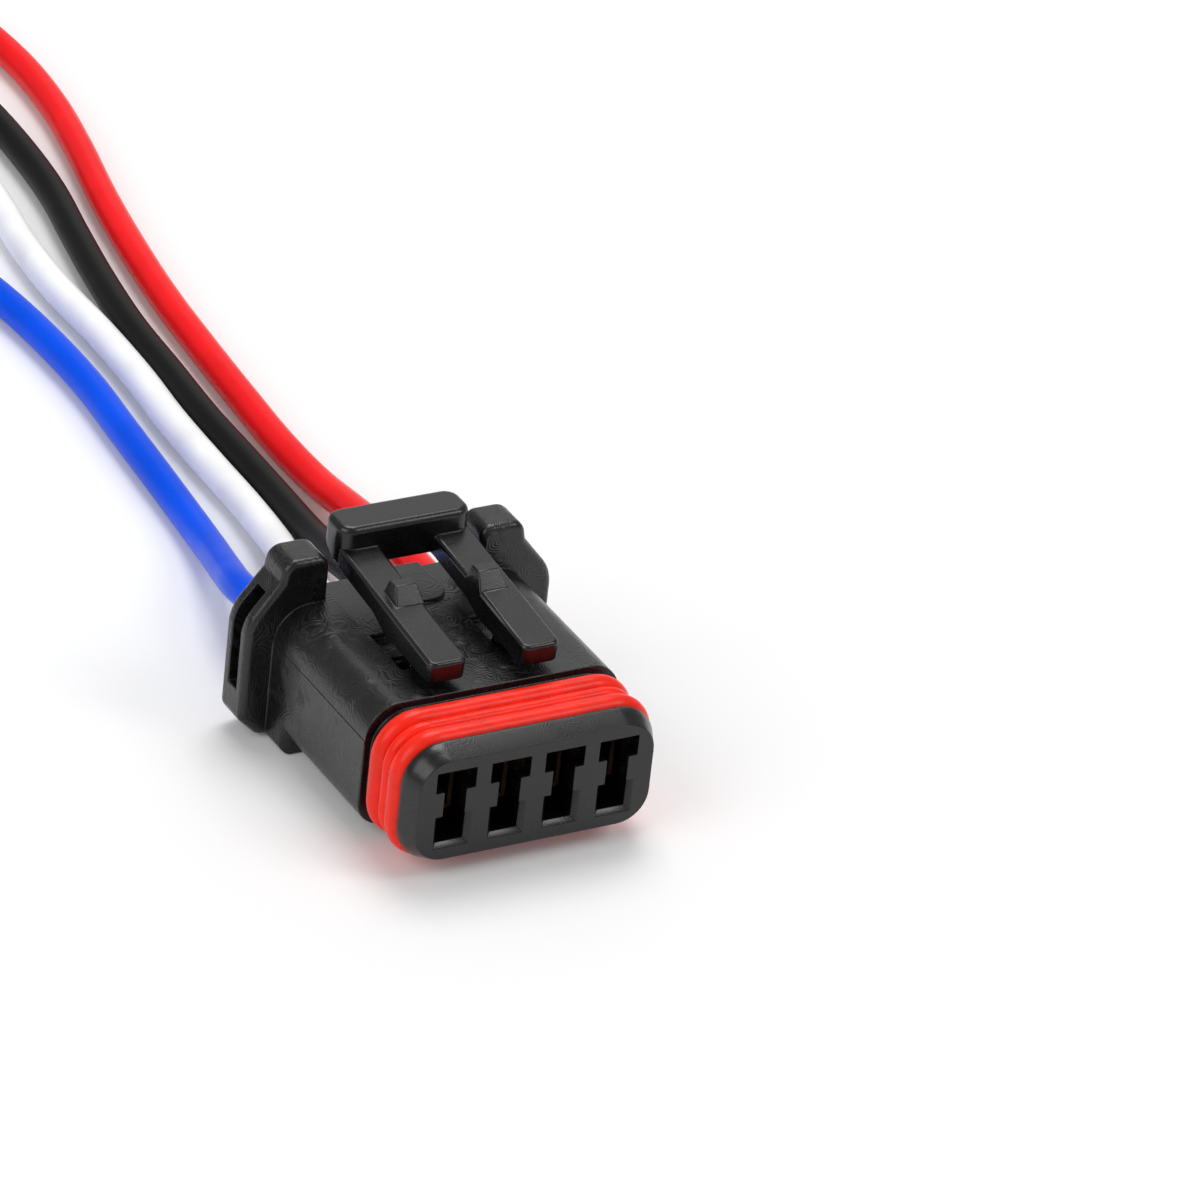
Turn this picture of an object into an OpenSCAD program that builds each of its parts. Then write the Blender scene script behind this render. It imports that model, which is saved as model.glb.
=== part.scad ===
// Sealed four-way plug with its leads attached.
// A moulded housing carries a ring seal on its nose, a slotted retainer that closes the nose,
// a sprung latch lever on top, and four crimped terminals with their wire seals and leads.
// X runs across the row of ways, Y from the mating face to the leads, Z up from the surface it lies on.

/* [Ways] */
// Distance between neighbouring ways
pitch = 4; // [3.9:0.1:4.6]
// Width of the slot's upper opening
slot_top_w = 2.9; // [2.4:0.1:3.1]
// Height of the slot's upper opening
slot_top_h = 1.5; // [1.1:0.1:1.7]
// Width of the slot's neck
slot_neck_w = 1.6; // [1.2:0.1:2]
// Height of the slot's neck
slot_neck_h = 1.85; // [1.5:0.05:2]
// Width of the slot's lower opening
slot_low_w = 2; // [1.8:0.1:2.2]
// Height of the slot's lower opening
slot_low_h = 2.1; // [1.8:0.1:2.3]
// Flare of the slot's lower opening at the mating face
slot_lead_in = 0.35; // [0.2:0.05:0.45]

/* [Nose and retainer] */
// Plastic between the outermost slots and the nose's end
nose_end_wall = 1.05; // [0.9:0.05:1.6]
// Plastic above and below the slots in the nose
nose_skin = 0.6; // [0.5:0.05:1]
// Corner radius of the nose
nose_r = 2.05; // [1.6:0.05:2.4]
// Thickness of the retainer's slotted plate
plate_t = 0.95; // [0.7:0.05:1.2]
// Wall of the retainer's rim around the nose
rim_wall = 0.65; // [0.5:0.05:0.9]
// Depth of the rim, from the mating face
rim_depth = 1.6; // [1.4:0.05:2]
// Taper of the rim from its land to the mating face
rim_taper = 0.6; // [0.3:0.05:0.65]
// Straight land of the rim behind the taper
rim_land = 0.3; // [0.15:0.05:0.5]
// Play between the retainer and the nose
slide_gap = 0.1; // [0.06:0.02:0.16]
// Travel of the retainer from locked to released
retainer_travel = 1.5; // [1:0.1:1.7]
// Height of a retainer leg
leg_h = 2.2; // [1.6:0.1:2.8]
// Length of a retainer leg behind the plate
leg_len = 3.9; // [3.6:0.1:4.1]
// Thickness of a retainer leg
leg_t = 0.4; // [0.3:0.02:0.44]
// Height of the catch on a leg
catch_h = 0.15; // [0.1:0.01:0.18]
// Length of the catch on a leg
catch_len = 0.5; // [0.4:0.05:0.6]

/* [Ring seal] */
// Radius of the rear rib
rib_rear_r = 0.78; // [0.7:0.02:0.84]
// Radius of the middle rib
rib_mid_r = 0.48; // [0.42:0.02:0.54]
// Radius of the front rib
rib_front_r = 0.84; // [0.76:0.02:0.9]
// Thickness of the seal at its outer ribs
seal_t = 1.1; // [1:0.02:1.2]
// Thickness of the seal at its middle rib
seal_mid_t = 0.9; // [0.8:0.02:0.98]
// Thickness of the band under the ribs
seal_band_t = 0.5; // [0.4:0.02:0.6]

/* [Housing] */
// Length of the body, from its front shoulder to the rear
body_len = 16; // [15.6:0.1:18]
// Step from the nose out to the body
shoulder_step = 1; // [0.9:0.05:1.3]
// Collar between the seal and the body's front edge
collar_len = 0.55; // [0.4:0.05:0.8]
// Height of the collar above the nose
collar_step = 0.45; // [0.3:0.05:0.6]
// Radius of the body's upper shoulders
shoulder_r = 2.5; // [2:0.1:3.2]
// Fine step where the shoulder meets the flat side
crease = 0.05; // [0.02:0.01:0.08]
// Radius of the body's lower corners
base_r = 2; // [1.5:0.1:2.4]
// Drop of the rear foot below the body
foot_drop = 0.75; // [0.5:0.05:1.2]
// Length of the rear foot
foot_len = 5.2; // [4:0.1:6]
// Rounding of the foot's corners
foot_r = 0.7; // [0.4:0.1:1]
// Diameter of a wire seal's bore
bore_d = 3.5; // [3.2:0.05:3.6]
// Length of a wire seal's bore
bore_len = 10.4; // [10.2:0.1:10.8]

/* [Deck] */
// Length of the plain deck in front of the lever's channel
deck_strip = 3.7; // [3.4:0.1:4]
// Width of the channel under the lever
channel_w = 10.1; // [9.9:0.1:10.4]
// Depth of the ledges at the channel's rear
ledge_depth = 0.35; // [0.2:0.05:0.5]
// Length of the ledges
ledge_len = 7.2; // [6.6:0.1:7.6]
// Depth of the channel's floor
channel_depth = 0.75; // [0.6:0.05:0.9]
// Depth of the pockets under the arms
pocket_depth = 0.95; // [0.9:0.05:1.1]
// Length of the pockets under the arms
pocket_len = 2.3; // [1.8:0.1:2.5]
// Drop of the platform between the arms below the deck
platform_drop = 0.2; // [0.1:0.05:0.3]
// Width of the hump and the platform between the arms
hump_w = 5; // [4.4:0.1:5.4]
// Length of the hump
hump_len = 4.8; // [4:0.1:5.4]

/* [Ears] */
// Thickness of an ear along the plug
ear_t = 3.1; // [2.6:0.1:3.4]
// Overhang of an ear behind the housing
ear_back = 0.4; // [0:0.05:0.5]
// Reach of an ear beyond the body's side
ear_reach = 2; // [1.6:0.05:2.2]
// Rise of an ear above the deck
ear_rise = 3.35; // [2.8:0.05:3.6]
// Width of the block on top of an ear
ear_top_w = 3.3; // [2.8:0.1:3.6]
// Height of the ear's upright outer face
ear_flat_h = 6.8; // [6:0.1:7.2]
// Drop of the upright outer face's lower end below the row of ways
ear_flat_drop = 3.7; // [3.2:0.1:4]
// Lift of the ear's lower edge above the foot
ear_lift = 0.2; // [0.1:0.05:0.6]
// Gap from the lever's channel to an ear
ear_inset = 0.6; // [0.4:0.05:0.8]
// Height of the block on top of an ear
ear_block_h = 1.5; // [1.2:0.1:1.8]
// Rounding of the ear's edges
ear_round = 0.5; // [0.3:0.05:0.6]
// Width of the slot in the ear's outer face
ear_slot_w = 1.2; // [0.9:0.05:1.4]
// Drop of the slot's lower end below the row of ways
ear_slot_drop = 1.7; // [1.2:0.1:2.2]
// Depth of the slot in the ear's outer face
ear_slot_depth = 1.2; // [0.8:0.05:1.4]

/* [Latch lever] */
// Setback of the arms from the body's front edge
lever_setback = 0.35; // [0.2:0.05:0.8]
// Width of an arm
arm_w = 2.8; // [2.4:0.1:3]
// Distance between the arms' middles
arm_spacing = 6.9; // [6.6:0.1:7]
// Gap between the deck and the arms' front ends
arm_gap = 0.6; // [0.5:0.05:0.8]
// Thickness of the arms' front ends
arm_front_t = 1.5; // [1.2:0.05:1.6]
// Rounding of the arms' upper edges
arm_round = 0.3; // [0.2:0.05:0.4]
// Rounding of the arms' front corners
arm_corner = 0.6; // [0.5:0.05:0.9]
// Thickness of the arms behind the nubs
arm_rear_t = 1.45; // [1.2:0.05:1.6]
// Rise of the arms from front to rear, in degrees
arm_rise = 6; // [5:0.5:7]
// Distance of the nubs from the arms' front ends
nub_from_front = 6.4; // [5.8:0.1:6.8]
// Length of a nub
nub_len = 2; // [1.6:0.1:2.4]
// Height of a nub
nub_h = 1.1; // [0.8:0.05:1.3]
// Inset of a nub from the arm's outer edge
nub_inset = 0.7; // [0.4:0.05:1]
// Depth of the thumb bar along the plug
bar_depth = 3.1; // [2.6:0.1:3.4]
// Overhang of the thumb bar behind the housing
bar_overhang = 0.5; // [0.2:0.1:0.8]
// Width of the thumb bar
bar_w = 9.8; // [9.6:0.1:10]
// Rise of the thumb bar above the arms
bar_rise = 1.6; // [1.2:0.05:1.8]
// Rounding of the thumb bar's edges
bar_round = 0.5; // [0.3:0.05:0.6]
// Rounding of the thumb bar's corners, seen from above
bar_corner = 1.1; // [0.8:0.05:1.4]
// Radius of the lever's round root
root_r = 0.7; // [0.6:0.02:0.74]
// Distance of the root from the body's front edge
root_setback = 5.15; // [5.05:0.05:5.3]
// Depth of the root's middle below the deck
root_height = 0.9; // [0.8:0.02:1]
// Play between the round root and its groove
root_gap = 0.05; // [0.03:0.01:0.08]

/* [Terminals] */
// Width of a terminal's box
box_w = 2.3; // [2.1:0.05:2.35]
// Height of a terminal's box
box_h = 3; // [2.8:0.05:3.1]
// Length of a terminal's box
box_len = 5.3; // [5:0.1:5.6]
// Thickness of the terminal's sheet
sheet_t = 0.3; // [0.2:0.02:0.32]
// Gap from the retainer's plate to the terminals
terminal_gap = 1.5; // [1.2:0.05:1.6]
// Play around a terminal in its cavity
cavity_gap = 0.15; // [0.1:0.01:0.18]
// Length of the conductor crimp
core_crimp_len = 2.4; // [2:0.1:2.6]
// Length of the insulation crimp
wire_crimp_len = 2; // [1.6:0.1:2.2]

/* [Leads] */
// Diameter of a lead over its insulation
wire_d = 2.3; // [2:0.05:2.4]
// Diameter of the stranded conductor
core_d = 1.2; // [1:0.05:1.3]
// Length of bare strands at the free end
bare_len = 6; // [3:0.5:8]
// Length of a wire seal
wire_seal_len = 6; // [5:0.1:6.6]
// Play of the wire seal on its lead and in its bore
seal_play = 0.02; // [0.01:0.01:0.04]

/* [Hidden] */
$fn = 48;
eps = 0.01;

// Row of ways, from left to right as seen from the mating face
BLUE = 0;
WHITE = 1;
BLACK = 2;
RED = 3;
ways = 4;
row_w = (ways - 1) * pitch;
function way_x(way) = way * pitch - row_w / 2;

// Sections of the nose, retainer, seal and body
slot_h = slot_top_h + slot_neck_h + slot_low_h;
slot_low_z = (slot_lead_in - slot_h) / 2;
slot_neck_z = slot_low_z + slot_low_h;
slot_top_z = slot_neck_z + slot_neck_h;
pocket_w = slot_top_w;
pocket_h = slot_h + slot_lead_in + 2 * slide_gap;
nose_w = row_w + pocket_w + 2 * nose_end_wall;
nose_h = pocket_h + 2 * nose_skin;
retainer_w = nose_w + 2 * (slide_gap + rim_wall);
retainer_h = nose_h + 2 * (slide_gap + rim_wall);
retainer_r = nose_r + slide_gap + rim_wall;
body_w = nose_w + 2 * shoulder_step;
body_h = nose_h + 2 * shoulder_step;
deck_z = body_h / 2;
base_z = -body_h / 2;
foot_z = base_z - foot_drop;

// Stations along the plug, measured from the mating face
nose_y = plate_t + slide_gap;
seal_y = rim_depth + slide_gap / 2;
seal_len = 2 * (rib_rear_r + rib_mid_r + rib_front_r);
collar_y = seal_y + seal_len;
shoulder_y = collar_y + collar_len;
rear_y = shoulder_y + body_len;
channel_y = shoulder_y + deck_strip;
ear_end_y = rear_y + ear_back;
ear_y = ear_end_y - ear_t;
bore_y = rear_y - bore_len;
terminal_y = plate_t + terminal_gap;
cavity_w = box_w + 2 * cavity_gap;
cavity_h = box_h + 2 * cavity_gap;

// Terminal stations: the box keeps to the retainer, the crimps and the wire seal to the bore
crimp_gap = 1.4;
wire_reach = 0.2;
core_reach = 0.3;
bore_lead = 0.15;
wire_seal_inset = 1.1;
wire_seal_ribs = 3;
wire_rib_r = 0.5;
box_end_y = terminal_y + box_len;
wire_crimp_y = bore_y + bore_lead;
wire_crimp_end_y = wire_crimp_y + wire_crimp_len;
core_crimp_end_y = wire_crimp_y - crimp_gap;
core_crimp_y = core_crimp_end_y - core_crimp_len;
wire_start_y = wire_crimp_y - wire_reach;
wire_seal_y = rear_y - wire_seal_inset - wire_seal_len;
crimp_core_r = core_d / 2 + seal_play;
crimp_wire_r = wire_d / 2 + seal_play;
seam_w = 0.4;
leaf_t = 0.25;
leaf_w = 1.4;
leaf_inset = 0.2;
leaf_tab = 0.45;
leaf_low = 0.2;

// Lances that hold the terminals
lance_t = 0.55;
lance_gap = 0.12;
lance_w = 1.6;
lance_setback = 1.7;
lance_y = terminal_y + lance_setback;
lance_len = 5;
lance_end_y = lance_y + lance_len;
lance_root = 1;
lance_clear = 0.3;
hook_len = 0.9;
hook_drop = 0.55;
hook_gap = 0.1;

// Ear outlines
ear_in_r = 0.9;
ear_out_r = 1.1;
ear_bend_r = 3;
ear_low_r = 0.8;
ear_heel_r = 0.9;
ear_heel_in = 1.5;
ear_bend_rise = 0.5;
ear_slope_out = 0.25;
ear_slot_top = 2;
ear_slot_lean = 1.4;
ear_slot_fall = 0.7;
ear_x = body_w / 2 + ear_reach;
ear_top_z = deck_z + ear_rise;

// Latch lever, measured from the deck
lever_y = shoulder_y + lever_setback;
bar_end_y = rear_y + bar_overhang;
bar_y = bar_end_y - bar_depth;
nub_y = lever_y + nub_from_front;
nub_end_y = nub_y + nub_len;
nub_ramp = 0.45 * nub_len;
nub_back = 0.2;
nub_root = 0.5;
arm_into_bar = 0.5;
nub_top_in = 0.25;
arm_step = 0.2;
bar_heel = 0.6;
root_y = shoulder_y + root_setback;
root_z = deck_z - root_height;
root_web = 0.9;
root_inset = 0.9;
root_end_gap = 0.1;
pocket_front = 0.3;
hump_r = 1.2;
function arm_top(y) = arm_gap + arm_front_t + (y - lever_y) * tan(arm_rise);
bar_top = arm_top(bar_y) + bar_rise;

// The frame: the plug stands on its foot, with the origin under the middle of its length
mating_y = -bar_end_y / 2;
axis_z = -foot_z;
function in_frame(p) = p + [0, mating_y, axis_z];
module place() { translate([0, mating_y, axis_z]) children(); }

// Free routes of the leads, in the frame, from behind the plug to the bare ends
ROUTE_BLUE = [
    [-6, 15, 5.2], [-5.8, 20, 4.3], [-4.8, 24, 3.2], [-3.3, 29.5, 1.8], [-2.4, 35, 1.2], [-1.9, 41, 1.2],
    [-1.4, 47.5, 1.2], [-0.9, 54, 1.2], [-0.9, 61, 1.2], [-1.4, 68, 1.2], [-2.5, 75, 1.2], [-4, 82, 1.2],
    [-6, 89, 1.2], [-8.4, 96, 1.2], [-11, 102.5, 1.2], [-13.5, 109, 1.2],
];
ROUTE_WHITE = [
    [-1.9, 15, 5.2], [-1.2, 19, 4.4], [-0.2, 23.5, 3.2], [1.4, 29, 1.8], [2.2, 35, 1.2], [2.3, 41, 1.2],
    [2.5, 47.5, 1.2], [3, 54, 1.2], [3.2, 61, 1.2], [3.1, 68, 1.2], [3.6, 75, 1.2], [4.6, 82, 1.2],
    [5.2, 89.5, 1.2], [5.4, 97, 1.2], [5.2, 104.5, 1.2], [4.6, 112, 1.2],
];
ROUTE_BLACK = [
    [2.1, 15, 5.2], [2.6, 19, 4.4], [3.3, 23.5, 3.2], [4.2, 29, 1.8], [4.8, 35, 1.2], [4.9, 41, 1.2],
    [5, 47.5, 1.2], [5.4, 54, 1.2], [5.8, 61, 1.2], [6.7, 68, 1.2], [7.9, 75, 1.2], [9.2, 82, 1.2],
    [9.9, 89, 1.2], [10.1, 96, 1.2], [9.9, 104, 1.2], [9.4, 112, 1.2],
];
ROUTE_RED = [
    [6.1, 15, 5.3], [6.6, 19, 4.8], [7.3, 24, 3.8], [8, 30, 2.4], [8.3, 36, 1.4], [8.4, 42, 1.2],
    [8.8, 49, 1.2], [9.3, 56, 1.2], [10, 64, 1.2], [11.1, 72, 1.2], [12.5, 80, 1.2], [14.2, 88, 1.2],
    [15.4, 95, 1.2], [15.9, 102, 1.2], [15.5, 109, 1.2], [14.7, 115, 1.2],
];
ROUTES = [ROUTE_BLUE, ROUTE_WHITE, ROUTE_BLACK, ROUTE_RED];
lead_rings = 20;
lead_sides = 8;

// A straight start inside the plug, then the free route
function lead_points(way) = concat(
    [for (y = [wire_start_y, rear_y]) in_frame([way_x(way), y, 0])],
    ROUTES[way]
);
function unit(v) = v / norm(v);

// Smooth curve through a list of points: t counts points from 0 to the last
function curve_end(p, i) = p[max(0, min(len(p) - 1, i))];
function curve_mix(a, b, c, d, f) =
    b + f * ((c - a) + f * ((2 * a - 5 * b + 4 * c - d) + f * (3 * (b - c) + d - a))) / 2;
function curve_at(p, t) =
    let (i = min(floor(t), len(p) - 2))
    curve_mix(curve_end(p, i - 1), p[i], p[i + 1], curve_end(p, i + 2), t - i);

// Middles of a lead's rings
function lead_centres(way) =
    let (points = lead_points(way), spans = len(points) - 1)
    [for (i = [0 : lead_rings - 1]) curve_at(points, spans * i / (lead_rings - 1))];

// Shapes that several pieces share
module along_x(x0, x1) { translate([x0, 0, 0]) rotate([90, 0, 90]) linear_extrude(x1 - x0) children(); }
module along_y(y0, y1) { translate([0, y1, 0]) rotate([90, 0, 0]) linear_extrude(y1 - y0) children(); }
module cylinder_y(y0, y1, r) { translate([0, y1, 0]) rotate([90, 0, 0]) cylinder(h = y1 - y0, r = r); }
module box_between(low, high) { translate(low) cube(high - low); }
module both_sides() {
    children();
    mirror([1, 0, 0]) children();
}
module at_way(way) { translate([way_x(way), 0, 0]) children(); }
module at_every_way() { for (way = [0 : ways - 1]) at_way(way) children(); }

module rounded_rect(w, h, r) {
    square([w - 2 * r, h], center = true);
    square([w, h - 2 * r], center = true);
    for (x = [-1, 1], y = [-1, 1]) {
        translate([x * (w / 2 - r), y * (h / 2 - r)]) circle(r);
    }
}

// Sweeps a section around a rounded rectangle in X and Z: its X points outwards, its Y to the mating face
module around(w, h, r) {
    long = w - 2 * r;
    short = h - 2 * r;
    rotate([90, 0, 0]) for (turn = [0, 180]) rotate([0, 0, turn]) {
        translate([-long / 2, h / 2, 0]) rotate([90, 0, 90]) linear_extrude(long) children();
        translate([w / 2, short / 2, 0]) rotate([90, 0, 0]) linear_extrude(short) children();
        translate([long / 2, short / 2, 0]) rotate_extrude(angle = 90) translate([r, 0]) children();
        translate([-long / 2, short / 2, 0]) rotate([0, 0, 90]) rotate_extrude(angle = 90)
            translate([r, 0]) children();
    }
}

// Outlines are lists of corners, [x, y, radius], counter-clockwise; inward corners have no radius
rim_lap = 0.1;
arc_steps = 6;
function corner(c, i) = c[(i + len(c)) % len(c)];
function spot(c, i) = [corner(c, i)[0], corner(c, i)[1]];
function radius(c, i) = corner(c, i)[2];
function heading(c, i) = unit(spot(c, i + 1) - spot(c, i));
function facing(c, i) = let (h = heading(c, i)) atan2(-h[0], h[1]);
function bent(a, b) = a[0] * b[1] - a[1] * b[0];
function hand(c, i) = sign(bent(heading(c, i - 1), heading(c, i)));
function turn(c, i) = acos(heading(c, i - 1) * heading(c, i));
function trim(c, i) = radius(c, i) * tan(turn(c, i) / 2);
function hub(c, i) =
    spot(c, i) + unit(heading(c, i) - heading(c, i - 1)) * radius(c, i) / cos(turn(c, i) / 2);
function arc(middle, r, from, to) =
    [for (s = [0 : arc_steps]) let (a = from + (to - from) * s / arc_steps) middle + r * [cos(a), sin(a)]];

// Points of an outline that is drawn in by a distance
function drawn_in(c, inset) = [
    for (i = [0 : len(c) - 1])
        let (a = facing(c, i - 1), b = a + hand(c, i) * turn(c, i))
        each arc(hub(c, i), hand(c, i) * radius(c, i) - inset, a, b)
];

// How far a straight stretch runs past a corner: into the plate at an inward one
function overrun(c, i, w) = hand(c, i) < 0 ? w : -trim(c, i);

// Sweeps a section of width w around an outline in X and Y: its X points outwards, its Y along Z
module rim(c, w, section) {
    for (i = [0 : len(c) - 1]) {
        from = spot(c, i) - heading(c, i) * overrun(c, i, w);
        to = spot(c, i + 1) + heading(c, i) * overrun(c, i + 1, w);
        translate(to) rotate([90, 0, facing(c, i)]) linear_extrude(norm(to - from)) polygon(section);
        if (hand(c, i) > 0) translate(hub(c, i)) rotate([0, 0, facing(c, i - 1)])
            rotate_extrude(angle = turn(c, i)) polygon([for (p = section) [radius(c, i) + p[0], p[1]]]);
    }
}

// Plate with rounded edges: an outline, a height and the rounding
module soft_plate(c, h, r) {
    w = r + rim_lap;
    rim(c, w, concat([[-w, h], [-w, 0]], arc([-r, r], r, -90, 0), arc([-r, h - r], r, 0, 90)));
    linear_extrude(h) polygon(drawn_in(c, w - rim_lap / 2));
}

// The I-shaped opening of one way, in X and Z
module slot_section() {
    translate([-slot_low_w / 2, slot_low_z]) square([slot_low_w, slot_low_h]);
    translate([-slot_neck_w / 2, slot_neck_z - eps]) square([slot_neck_w, slot_neck_h + 2 * eps]);
    translate([-slot_top_w / 2, slot_top_z]) square([slot_top_w, slot_top_h]);
}

// Flat sides, wide upper shoulders and small lower corners, in X and Z
module body_section() {
    top_w = body_w - 2 * crease;
    crease_z = deck_z - shoulder_r;
    translate([-body_w / 2, base_z + base_r]) square([body_w, crease_z - base_z - base_r]);
    translate([-body_w / 2 + base_r, base_z]) square([body_w - 2 * base_r, base_r + eps]);
    translate([-top_w / 2 + shoulder_r, crease_z - eps]) square([top_w - 2 * shoulder_r, shoulder_r + eps]);
    for (x = [-1, 1]) {
        translate([x * (body_w / 2 - base_r), base_z + base_r]) circle(base_r);
        intersection() {
            translate([x * (top_w / 2 - shoulder_r), crease_z]) circle(shoulder_r);
            translate([-body_w / 2, crease_z - eps]) square([body_w, shoulder_r + crease]);
        }
    }
}

module nose_section(grow) { rounded_rect(nose_w + 2 * grow, nose_h + 2 * grow, nose_r + grow); }

// Housing: body, nose, foot and ears in one moulding

// Outline of the right ear, in X and Z
function ear_outline() =
    let (
        in_x = channel_w / 2 + ear_inset,
        block_x = in_x + ear_top_w,
        low_z = foot_z + ear_lift,
        bend_z = ear_flat_h - ear_flat_drop + ear_bend_rise
    )
    [
        [in_x, low_z, ear_in_r], [ear_x - ear_heel_in, low_z, ear_heel_r],
        [ear_x, -ear_flat_drop, ear_low_r], [ear_x, bend_z, ear_bend_r],
        [block_x + ear_slope_out, ear_top_z - ear_block_h, 0],
        [block_x, ear_top_z, ear_out_r], [in_x, ear_top_z, ear_in_r],
    ];

// Band along the ear's outer face that its slot is cut from, in X and Z
module ear_slot_section() {
    low = -ear_slot_drop;
    bend = ear_flat_h - ear_flat_drop;
    top = ear_top_z - ear_slot_top;
    in_x = ear_x - ear_slot_depth;
    polygon([
        [ear_x + ear_reach, low], [ear_x + ear_reach, bend], [ear_x, top],
        [in_x - ear_slot_lean, top - ear_slot_fall], [in_x, bend - ear_slot_fall], [in_x, low],
    ]);
}

module ear() {
    mid_y = ear_y + ear_t / 2;
    difference() {
        translate([0, ear_end_y, 0]) rotate([90, 0, 0]) soft_plate(ear_outline(), ear_t, ear_round);
        along_y(mid_y - ear_slot_w / 2, mid_y + ear_slot_w / 2) ear_slot_section();
    }
}

module foot() {
    intersection() {
        along_y(rear_y - foot_len, rear_y) translate([0, foot_z / 2]) rounded_rect(body_w, -foot_z, foot_r);
        translate([0, rear_y - foot_len / 2, foot_z]) linear_extrude(-foot_z)
            rounded_rect(body_w, foot_len, foot_r);
    }
}

// Channel under the lever: ledges at its rear, a platform along its middle and pockets for the roots
module deck_cuts() {
    ledge_y = rear_y - ledge_len;
    half = channel_w / 2;
    top = deck_z + root_r;
    pocket_y = channel_y + pocket_front;
    difference() {
        union() {
            box_between([-half, channel_y, deck_z - ledge_depth], [half, rear_y + eps, top]);
            box_between([-half, channel_y, deck_z - channel_depth], [half, ledge_y, top]);
        }
        box_between(
            [-hump_w / 2, channel_y - eps, deck_z - pocket_depth],
            [hump_w / 2, rear_y + 2 * eps, deck_z - platform_drop]
        );
        hump();
    }
    both_sides() box_between(
        [hump_w / 2, pocket_y, deck_z - pocket_depth],
        [half, pocket_y + pocket_len, top]
    );
    both_sides() translate([hump_w / 2, root_y, root_z]) rotate([0, 90, 0])
        cylinder(h = half - hump_w / 2, r = root_r + root_gap);
}

// Round-fronted hump that stops the thumb bar
module hump() {
    front_y = rear_y - hump_len + hump_r;
    translate([0, front_y, deck_z - pocket_depth]) linear_extrude(pocket_depth) {
        translate([-hump_w / 2 + hump_r, -hump_r]) square([hump_w - 2 * hump_r, hump_len]);
        translate([-hump_w / 2, 0]) square([hump_w, hump_len]);
        for (x = [-1, 1]) translate([x * (hump_w / 2 - hump_r), 0]) circle(hump_r);
    }
}

// Cavity of one way: a front pocket, the terminal's channel, the lance's space and the seal's bore
module way_cavity() {
    pocket_end_y = lance_y - lance_clear;
    box_between(
        [-pocket_w / 2, nose_y - eps, -pocket_h / 2],
        [pocket_w / 2, pocket_end_y + eps, pocket_h / 2]
    );
    box_between([-cavity_w / 2, nose_y - eps, -cavity_h / 2], [cavity_w / 2, bore_y + eps, cavity_h / 2]);
    difference() {
        box_between([-cavity_w / 2, pocket_end_y, 0], [cavity_w / 2, lance_end_y, pocket_h / 2]);
        lance();
    }
    cylinder_y(bore_y, ear_end_y + eps, bore_d / 2);
}

// Springy tongue that drops its hook into the window of a terminal's box
module lance() {
    low = cavity_h / 2 + lance_gap;
    along_x(-lance_w / 2, lance_w / 2) polygon([
        [lance_y, low - hook_drop], [lance_y + hook_len, low - hook_drop], [lance_y + hook_len, low],
        [lance_end_y + lance_root, low], [lance_end_y + lance_root, low + lance_t],
        [lance_y + lance_t / 2, low + lance_t], [lance_y, low + lance_t / 2],
    ]);
}

// Side groove and catch window for a leg of the retainer
module leg_groove() {
    out_x = nose_w / 2;
    in_x = out_x - leg_t - slide_gap;
    leg_end_y = plate_t + leg_len;
    catch_y = leg_end_y - catch_len - retainer_travel - slide_gap;
    half = leg_h / 2 + slide_gap;
    box_between([in_x, nose_y - eps, -half], [out_x + leg_t, leg_end_y + slide_gap, half]);
    box_between([in_x - catch_h - slide_gap, catch_y, -half], [out_x, leg_end_y + slide_gap, half]);
}

module housing() {
    color([0.09, 0.09, 0.1]) place() difference() {
        union() {
            along_y(shoulder_y, rear_y) body_section();
            along_y(nose_y, shoulder_y + eps) nose_section(0);
            along_y(collar_y, shoulder_y + eps) nose_section(collar_step);
            foot();
            both_sides() ear();
        }
        deck_cuts();
        at_every_way() way_cavity();
        both_sides() leg_groove();
    }
}

// Ring seal: three round ribs on a band, swept around the nose

// Section of the seal: X outwards from the nose, Y forwards from the collar
module seal_section() {
    mid_y = 2 * rib_rear_r + rib_mid_r;
    intersection() {
        union() {
            square([seal_band_t, seal_len]);
            translate([seal_t - rib_rear_r, rib_rear_r]) circle(rib_rear_r);
            translate([seal_mid_t - rib_mid_r, mid_y]) circle(rib_mid_r);
            translate([seal_t - rib_front_r, seal_len - rib_front_r]) circle(rib_front_r);
        }
        translate([seal_play, 0]) square([seal_t, seal_len]);
    }
}

module ring_seal() {
    color([0.89, 0.13, 0.09]) place() translate([0, collar_y, 0])
        around(nose_w, nose_h, nose_r) seal_section();
}

// Front retainer: a slotted plate with a rim and two side legs

// Block with a rim that tapers to the mating face
module retainer_blank() {
    core_w = retainer_w - 2 * rim_taper;
    core_h = retainer_h - 2 * rim_taper;
    core_r = retainer_r - rim_taper;
    along_y(0, rim_depth) rounded_rect(core_w, core_h, core_r);
    translate([0, rim_depth, 0]) around(core_w, core_h, core_r)
        polygon([[0, 0], [rim_taper, 0], [rim_taper, rim_land], [0, rim_depth]]);
}

// Flare at the sides and foot of a slot's lower opening
module slot_mouth() {
    half = slot_low_w / 2;
    flare = slot_lead_in + eps;
    intersection() {
        along_x(-half - flare, half + flare) polygon([
            [-eps, slot_low_z - flare], [slot_lead_in, slot_low_z],
            [slot_lead_in, slot_neck_z], [-eps, slot_neck_z],
        ]);
        translate([0, 0, slot_low_z - flare]) linear_extrude(slot_low_h + flare) polygon([
            [-half - flare, -eps], [half + flare, -eps], [half, slot_lead_in], [-half, slot_lead_in],
        ]);
    }
}

module retainer_leg() {
    out_x = nose_w / 2 - slide_gap;
    in_x = out_x - leg_t + slide_gap;
    end_y = plate_t + leg_len;
    box_between([in_x, plate_t - eps, -leg_h / 2], [out_x, end_y, leg_h / 2]);
    box_between([in_x - catch_h, end_y - catch_len, -leg_h / 2], [in_x + eps, end_y, leg_h / 2]);
}

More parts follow.
